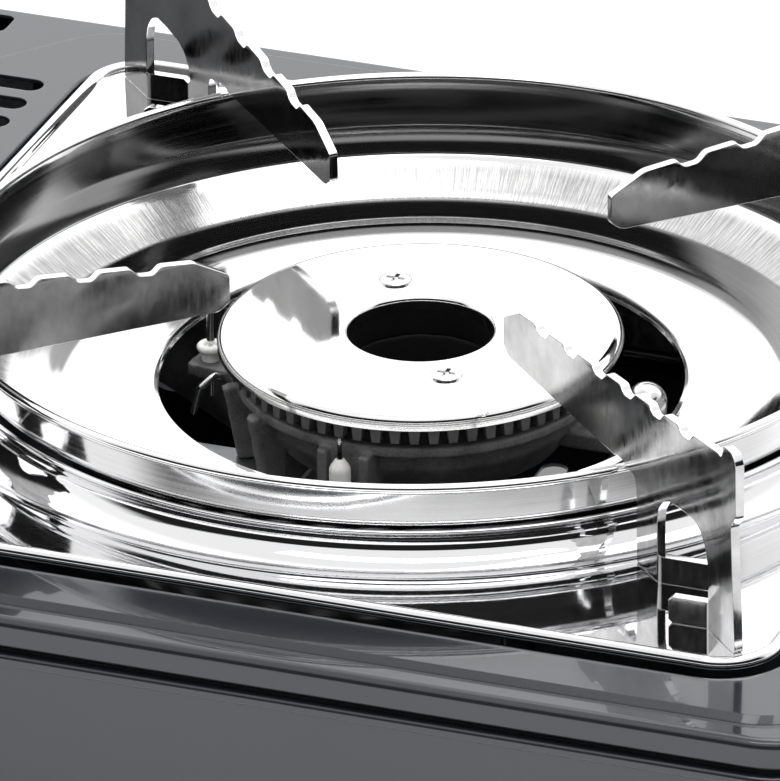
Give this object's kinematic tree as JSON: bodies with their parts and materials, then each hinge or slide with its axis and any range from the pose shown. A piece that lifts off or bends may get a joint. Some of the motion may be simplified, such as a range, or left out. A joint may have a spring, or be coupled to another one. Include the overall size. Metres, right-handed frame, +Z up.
{
  "type": "butane cassette stove",
  "caption": "Tabletop gas stove with a round burner in a chromed wind guard, upright pan supports and a lidded bay for a push-in cartridge.",
  "frame": {"origin": "on the table under the middle of the overall box", "axes": "+Z up, -Y towards the user (knob side), +X towards the cartridge bay"},
  "size_m": [0.368, 0.292, 0.117],
  "materials": {
    "casing_paint": "gloss grey stove enamel",
    "chrome_plate": "bright chrome plate",
    "cap_steel": "satin stainless",
    "burner_casting": "rough as cast",
    "zinc_steel": "zinc plated",
    "bright_steel": "bright nickel plate",
    "die_cast": "die cast",
    "pipe_aluminium": "drawn",
    "jet_brass": "machined",
    "white_ceramic": "glazed white ceramic",
    "foot_rubber": "matte black",
    "lead_sleeve": "silicone sleeve",
    "black_plastic": "moulded, fine grain"
  },
  "bodies": {
    "root": {"base_shell": "casing_paint", "top_cover": "casing_paint", "burner_cap": "cap_steel", "port_ring": "cap_steel", "burner_body": "burner_casting", "cover_posts": "zinc_steel", "heat_shield_wall": "zinc_steel", "heat_plate": "zinc_steel", "front_bulkhead": "zinc_steel", "burner_posts": "zinc_steel", "air_shutter": "zinc_steel", "jet_bracket": "zinc_steel", "hinge_brackets": "zinc_steel", "cradle_rails": "zinc_steel", "lever_pivot": "zinc_steel", "bar_guides": "zinc_steel", "regulator_cover": "zinc_steel", "probe_clip": "zinc_steel", "floor_screws": "bright_steel", "dome_nut": "bright_steel", "ear_screw": "bright_steel", "cap_screws": "bright_steel", "spark_electrode": "bright_steel", "probe_pin": "bright_steel", "hinge_pins": "bright_steel", "regulator_body": "die_cast", "gas_valve": "die_cast", "gas_pipe": "pipe_aluminium", "jet": "jet_brass", "pipe_nut": "jet_brass", "spark_insulator": "white_ceramic", "probe_collar": "white_ceramic", "rubber_feet": "foot_rubber", "lead_boot": "foot_rubber", "regulator_diaphragm": "foot_rubber", "igniter_lead": "lead_sleeve", "lead_clips": "lead_sleeve", "piezo_unit": "black_plastic"},
    "tray_assembly": {"drip_tray": "chrome_plate", "wind_guard": "chrome_plate", "pan_support_rear_right": "chrome_plate", "pan_support_rear_left": "chrome_plate", "pan_support_front_left": "chrome_plate", "pan_support_front_right": "chrome_plate"},
    "lid": {"cartridge_lid": "casing_paint"},
    "knob": {"control_knob": "black_plastic", "knob_shaft": "bright_steel"},
    "lever": {"lock_lever": "zinc_steel", "lever_handle": "black_plastic"},
    "carriage": {"cartridge_pusher": "zinc_steel"}
  },
  "joints": [
    {"name": "tray_lift", "type": "slide", "parent": "root", "child": "tray_assembly", "axis": [0, 0, 1], "range_m": [0, 0.06]},
    {"name": "lid_hinge", "type": "hinge", "parent": "root", "child": "lid", "pos_m": [0.1812, 0.033, 0.015], "axis": [0, 1, 0], "range_deg": [0, 88]},
    {"name": "knob_turn", "type": "hinge", "parent": "root", "child": "knob", "pos_m": [0.145, -0.134, 0.038], "axis": [0, -1, 0], "range_deg": [0, 135]},
    {"name": "lever_swing", "type": "hinge", "parent": "root", "child": "lever", "pos_m": [0.1074, -0.1, 0.028], "axis": [1, 0, 0], "range_deg": [0, 24]},
    {"name": "carriage_slide", "type": "slide", "parent": "root", "child": "carriage", "axis": [0, -1, 0], "range_m": [0, 0.008]}
  ],
  "couplings": [
    {"joint": "carriage_slide", "follows": "lever_swing", "m_per_rad": 0.01896}
  ]
}
